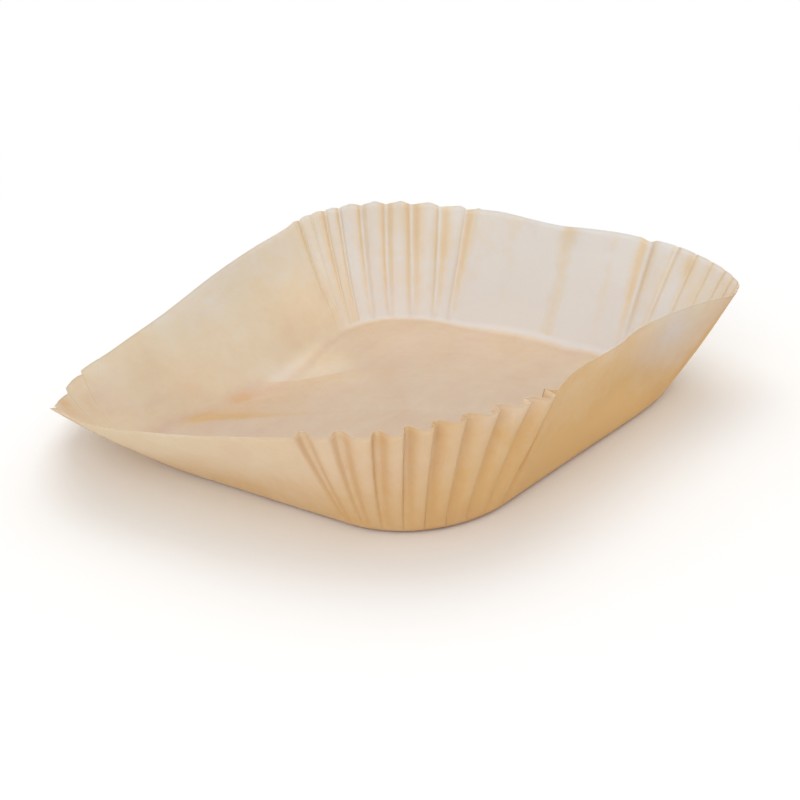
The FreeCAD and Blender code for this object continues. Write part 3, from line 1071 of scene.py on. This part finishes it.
@dataclass(frozen=True)
class GreaseproofPaper:
    """Unbleached greaseproof paper: matt, slightly see-through and a little cloudy.

    Its colour runs from pale over cream and tan to amber as its warmth rises, and is flushed
    in large soft clouds. It is shaded, and lets less light through, where it lies on the ground,
    and the painted light and shade of the tray scale its colour.
    """

    name: str = "unbleached_greaseproof_paper"
    pale: Triple = (0.855, 0.85, 0.86)
    cream: Triple = (0.85, 0.755, 0.60)
    tan: Triple = (0.81, 0.65, 0.46)
    amber: Triple = (0.77, 0.54, 0.265)
    plain: Triple = (1.0, 1.0, 1.0)
    flushed: Triple = (0.93, 0.86, 0.92)
    warmths: tuple[float, ...] = (0.0, 0.33, 0.66, 1.0)
    cloud: Grain = Grain(24.0, 0.3)
    blotch: Grain = Grain(75.0, 0.26, bump_strength=0.35, bump_height=0.0012)
    mottle: Grain = Grain(260.0, 0.2, 2.0)
    fibre: Grain = Grain(900.0, 0.08, 2.0, (1.0, 1.0, 2.2), bump_strength=0.25, bump_height=0.0002)
    flush: Grain = Grain(55.0, 1.3, 4.0, (1.3, 1.0, 1.0))
    flush_start: float = -0.75
    blush_gain: float = 0.8
    rest_shade: float = 0.78
    rest_through: float = 0.06
    lifted_through: float = 0.38
    roughness: float = 0.6
    specular: float = 0.25
    crease: FloorCrease = FloorCrease()

    def make(self) -> bpy.types.Material:
        """Build the node material.

        Returns:
            The material.
        """
        material = bpy.data.materials.new(self.name)
        material.use_nodes = True
        board = NodeBoard(material.node_tree)
        place = board.add("TexCoord").outputs["Object"]
        warmth, blush, tone, lift = (
            board.add("Attribute", attribute_name=name).outputs["Fac"]
            for name in ("warmth", "blush", "tone", "lift")
        )
        grains = (self.cloud, self.blotch, self.mottle, self.fibre)
        fields = {grain: board.noise(place, grain) for grain in grains}
        level = board.math("ADD", warmth, self.crease.level(board, place))
        for grain, values in fields.items():
            shift = board.math("ADD", level, -0.5 * grain.gain)
            level = board.math("MULTIPLY_ADD", values, grain.gain, shift)
        tints = (self.pale, self.cream, self.tan, self.amber)
        colour = board.ramp(level, list(zip(self.warmths, tints)))
        flush = board.noise(place, self.flush)
        flush = board.math("MULTIPLY_ADD", flush, self.flush.gain, self.flush_start)
        flush = board.math("MULTIPLY_ADD", blush, self.blush_gain, flush)
        tint = board.ramp(flush, [(0.0, self.plain), (1.0, self.flushed)])
        colour = board.add("VectorMath", {0: colour, 1: tint}, operation="MULTIPLY").outputs[0]
        # The painted light and shade of the tray scale the colour, together with the shade where
        # the paper rests on the ground.
        depth = board.add("MapRange", {"Value": lift, "To Min": self.rest_shade}).outputs["Result"]
        shade = {0: colour, "Scale": board.math("MULTIPLY", depth, tone)}
        colour = board.add("VectorMath", shade, operation="SCALE").outputs["Vector"]
        normal = {}
        for grain in (self.fibre, self.blotch):
            bump = {"Strength": grain.bump_strength, "Distance": grain.bump_height}
            bump |= {"Height": fields[grain], **normal}
            normal = {"Normal": board.add("Bump", bump).outputs["Normal"]}
        looks = {"Base Color": colour, "Roughness": self.roughness, **normal}
        looks["Specular IOR Level"] = self.specular
        paper = board.add("BsdfPrincipled", looks).outputs["BSDF"]
        through = board.add("BsdfTranslucent", {"Color": colour}).outputs["BSDF"]
        thin = {"Value": lift, "To Min": self.rest_through, "To Max": self.lifted_through}
        share = board.add("MapRange", thin).outputs["Result"]
        mix = board.add("MixShader", {0: share, 1: paper, 2: through}).outputs["Shader"]
        board.add("OutputMaterial", {"Surface": mix})
        return material


@dataclass(frozen=True)
class PaleFloor:
    """Matt pale finish of the studio's floor, which turns to plain white beyond the shadow."""

    name: str = "pale_floor"
    colour: tuple[float, float, float, float] = (0.9, 0.9, 0.9, 1.0)
    roughness: float = 0.9
    white_from: float = 0.16
    white_at: float = 0.5

    def make(self) -> bpy.types.Material:
        """Build the node material.

        Returns:
            The material.
        """
        material = bpy.data.materials.new(self.name)
        material.use_nodes = True
        board = NodeBoard(material.node_tree)
        matt = {"Base Color": self.colour, "Roughness": self.roughness}
        shader = board.add("BsdfPrincipled", matt).outputs["BSDF"]
        place = board.add("TexCoord").outputs["Object"]
        reach = board.add("VectorMath", {0: place}, operation="LENGTH").outputs["Value"]
        ends = {"Value": reach, "From Min": self.white_from, "From Max": self.white_at}
        share = board.add("MapRange", ends, interpolation_type="SMOOTHSTEP").outputs["Result"]
        seen = board.math("MULTIPLY", board.seen_directly(), share)
        white = board.add("Emission", {"Strength": 1.0}).outputs["Emission"]
        mix = board.add("MixShader", {0: seen, 1: shader, 2: white}).outputs["Shader"]
        board.add("OutputMaterial", {"Surface": mix})
        return material


@dataclass(frozen=True)
class Lamp:
    """A broad square lamp turned to the tray: place and side in metres, power in watts."""

    name: str
    place: Triple
    side: float
    power: float

    def hang(self) -> None:
        """Add the lamp to the scene."""
        data = bpy.data.lights.new(self.name, "AREA")
        data.size = self.side
        data.energy = self.power
        lamp = bpy.data.objects.new(self.name, data)
        bpy.context.scene.collection.objects.link(lamp)
        lamp.location = self.place
        lamp.rotation_euler = (-Vector(self.place)).to_track_quat("-Z", "Y").to_euler()


@dataclass(frozen=True)
class Studio:
    """Pale floor, soft light and the camera. The floor's sizes and the far clip are in metres."""

    focal_mm: float = 68.71
    sensor_mm: float = 36.0
    eye: Triple = (363.08, -376.61, 225.38)
    target: Triple = (-3.03, -0.93, 3.42)
    roll_degrees: float = -6.73
    far_clip: float = 20.0
    floor_half: float = 3.0
    floor_level: float = -0.0002
    sky: tuple[float, float, float, float] = (1.0, 0.99, 0.98, 1.0)
    sky_strength: float = 0.82
    white: tuple[float, float, float, float] = (1.0, 1.0, 1.0, 1.0)
    lamps: tuple[Lamp, ...] = (
        Lamp("overhead", (-0.25, 0.35, 1.1), 1.0, 4.2),
        Lamp("front", (0.6, -0.92, 0.7), 0.9, 3.6),
    )

    def camera(self) -> None:
        """Place the camera, and look through it."""
        data = bpy.data.cameras.new("camera")
        data.lens = self.focal_mm
        data.sensor_width = self.sensor_mm
        data.clip_end = self.far_clip
        camera = bpy.data.objects.new("camera", data)
        bpy.context.scene.collection.objects.link(camera)
        camera.location = Vector(self.eye) * MM
        gaze = (Vector(self.target) - Vector(self.eye)).to_track_quat("-Z", "Y")
        roll = Quaternion((0.0, 0.0, 1.0), math.radians(self.roll_degrees))
        camera.rotation_euler = (gaze @ roll).to_euler()
        bpy.context.scene.camera = camera

    def light(self) -> None:
        """Set a soft world, white where it is seen, and hang the lamps."""
        world = bpy.data.worlds.new("studio")
        bpy.context.scene.world = world
        world.use_nodes = True
        board = NodeBoard(world.node_tree)
        seen = board.add("Background", {"Color": self.white, "Strength": 1.0}).outputs[0]
        sky = {"Color": self.sky, "Strength": self.sky_strength}
        soft = board.add("Background", sky).outputs[0]
        direct = board.seen_directly()
        mix = board.add("MixShader", {0: direct, 1: soft, 2: seen}).outputs[0]
        board.add("OutputWorld", {"Surface": mix})
        for lamp in self.lamps:
            lamp.hang()

    def floor(self) -> None:
        """Lay a pale floor that keeps the tray's shadow."""
        mesh = bpy.data.meshes.new("studio_floor")
        half, level = self.floor_half, self.floor_level
        ends = ((-half, -half), (half, -half), (half, half), (-half, half))
        mesh.from_pydata([(x, y, level) for x, y in ends], [], [(0, 1, 2, 3)])
        floor = bpy.data.objects.new("studio_floor", mesh)
        bpy.context.scene.collection.objects.link(floor)
        mesh.materials.append(PaleFloor().make())


def main() -> None:
    """Build the tray and the studio."""
    logging.basicConfig(level=logging.INFO, format="%(message)s")
    liner = PaperTray()
    tray = liner.build()
    liner.dress(tray, GreaseproofPaper().make())
    LOG.info("%s: %d faces", tray.name, len(tray.data.polygons))
    studio = Studio()
    studio.floor()
    studio.light()
    studio.camera()
    bpy.context.scene.view_settings.view_transform = "Standard"


if __name__ == "__main__":
    main()
